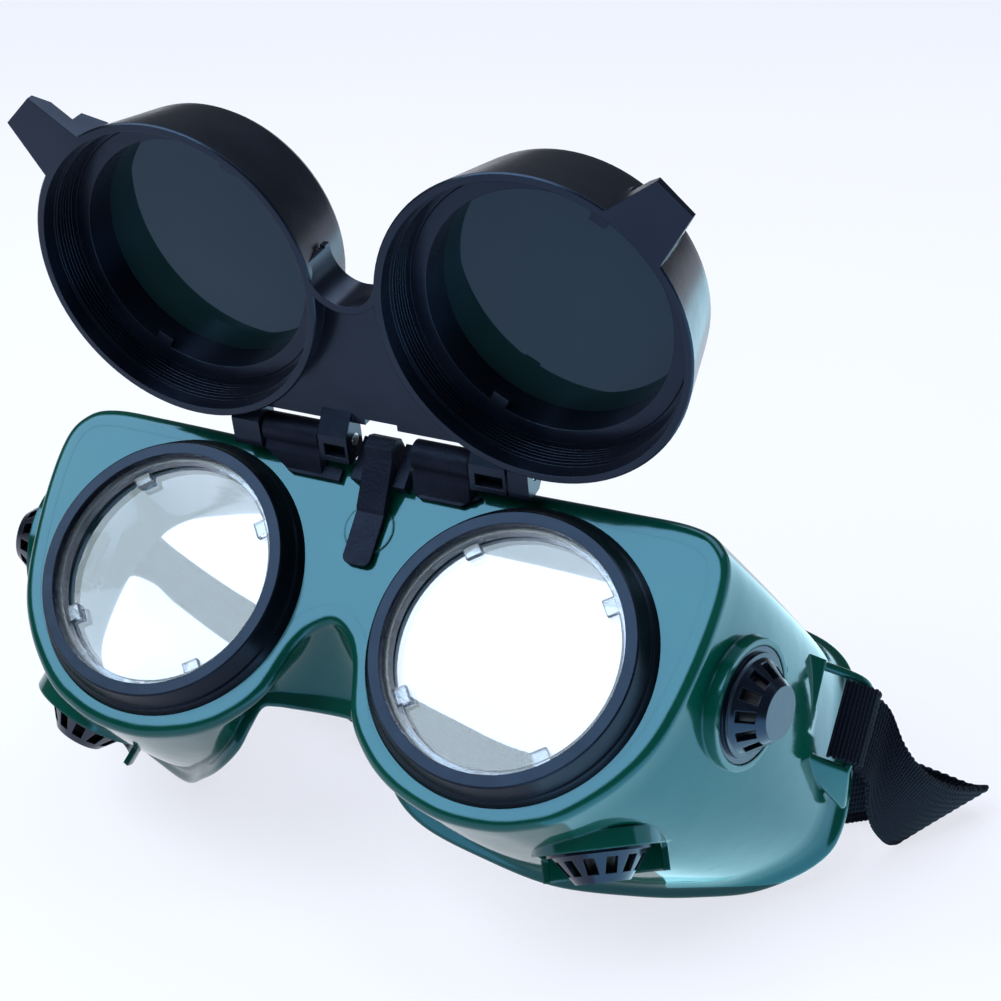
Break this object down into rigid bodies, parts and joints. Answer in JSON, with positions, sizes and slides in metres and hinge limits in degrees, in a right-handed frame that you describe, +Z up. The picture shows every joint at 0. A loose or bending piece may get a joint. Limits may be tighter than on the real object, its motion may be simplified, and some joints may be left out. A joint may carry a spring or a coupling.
{
  "type": "welding goggles",
  "caption": "Flip-up welding goggles: green moulded mask with clear lenses in screw rings, vents, elastic strap, and a hinged front of two deep cups with dark lenses, raised",
  "frame": {"origin": "centre of the underside of the overall box, on the surface the goggles lie on", "axes": "+Z up; the goggles lie leaning back 45 degrees with the lenses facing -Y and up and the strap behind at +Y; +X is to the right seen from the front"},
  "size_m": [0.2255, 0.1068, 0.1528],
  "materials": {
    "mask_shell": "glossy moulded plastic, deep green",
    "ring_plastic": "black satin plastic",
    "clear_lens": "clear polished",
    "retainer_clear": "milky translucent plastic",
    "gasket_rubber": "black rubber",
    "pin_steel": "plain steel",
    "shade_glass": "dark green welding shade",
    "hinge_plastic": "black textured plastic",
    "slider_plastic": "black plastic",
    "baffle_plastic": "black plastic",
    "vent_plastic": "black satin plastic",
    "flip_plastic": "black satin plastic",
    "strap_webbing": "black woven elastic"
  },
  "bodies": {
    "mask": {"mask_body": "mask_shell", "lens_ring_left": "ring_plastic", "lens_ring_right": "ring_plastic", "clear_lens_left": "clear_lens", "clear_lens_right": "clear_lens", "lens_retainer_left": "retainer_clear", "lens_retainer_right": "retainer_clear", "lens_gasket_left": "gasket_rubber", "lens_gasket_right": "gasket_rubber", "hinge_base": "hinge_plastic", "snap_tongue": "hinge_plastic", "hinge_pin_left": "pin_steel", "hinge_pin_right": "pin_steel", "vent_cap_side_left": "vent_plastic", "vent_cap_side_right": "vent_plastic", "vent_cap_lower_left": "vent_plastic", "vent_cap_lower_right": "vent_plastic", "vent_baffle_side_left": "baffle_plastic", "vent_baffle_side_right": "baffle_plastic", "vent_baffle_lower_left": "baffle_plastic", "vent_baffle_lower_right": "baffle_plastic", "strap": "strap_webbing"},
    "flip_front": {"flip_frame": "flip_plastic", "shade_lens_left": "shade_glass", "shade_lens_right": "shade_glass", "shade_retainer_left": "flip_plastic", "shade_retainer_right": "flip_plastic", "shade_gasket_left": "gasket_rubber", "shade_gasket_right": "gasket_rubber"},
    "slider": {"strap_slider": "slider_plastic"}
  },
  "joints": [
    {"name": "flip_hinge", "type": "hinge", "parent": "mask", "child": "flip_front", "pos_m": [-0.00054, -0.01148, 0.08768], "axis": [1, 0, 0], "range_deg": [0, 127]},
    {"name": "strap_slide", "type": "slide", "parent": "mask", "child": "slider", "axis": [-0.3384, 0.7972, -0.5], "range_m": [-0.006, 0.006]}
  ]
}
